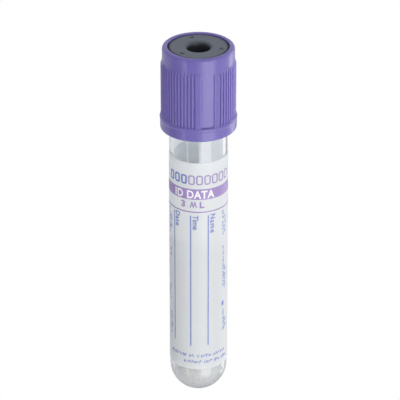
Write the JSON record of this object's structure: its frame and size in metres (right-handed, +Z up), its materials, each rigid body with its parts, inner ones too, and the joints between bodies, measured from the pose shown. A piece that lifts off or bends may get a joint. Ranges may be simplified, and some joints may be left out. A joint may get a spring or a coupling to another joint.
{
  "type": "blood collection tube",
  "caption": "Clear round-bottomed blood collection tube standing on its cap, with a wrap-round writing label and a ribbed purple cap that pulls off together with its rubber stopper.",
  "frame": {"origin": "middle of the cap's flat top, on which the tube stands upside down", "axes": "+Z is up, along the tube's axis from the cap to the round bottom; -Y is the front, where the label's print is"},
  "size_m": [0.017, 0.017, 0.0849],
  "materials": {
    "tube": "clear moulded PET plastic, glossy",
    "additive": "thin dried spray, faint white haze",
    "label": "satin film with lilac and blue print",
    "stopper": "matt grey moulded rubber",
    "cap": "satin moulded polyethylene, lilac purple"
  },
  "bodies": {
    "closure": {"stopper": "stopper", "cap": "cap"},
    "tube": {"tube": "tube", "additive": "additive", "label": "label"}
  },
  "joints": [
    {"name": "tube_pull", "type": "slide", "parent": "closure", "child": "tube", "axis": [0, 0, 1], "range_m": [0, 0.025]}
  ]
}
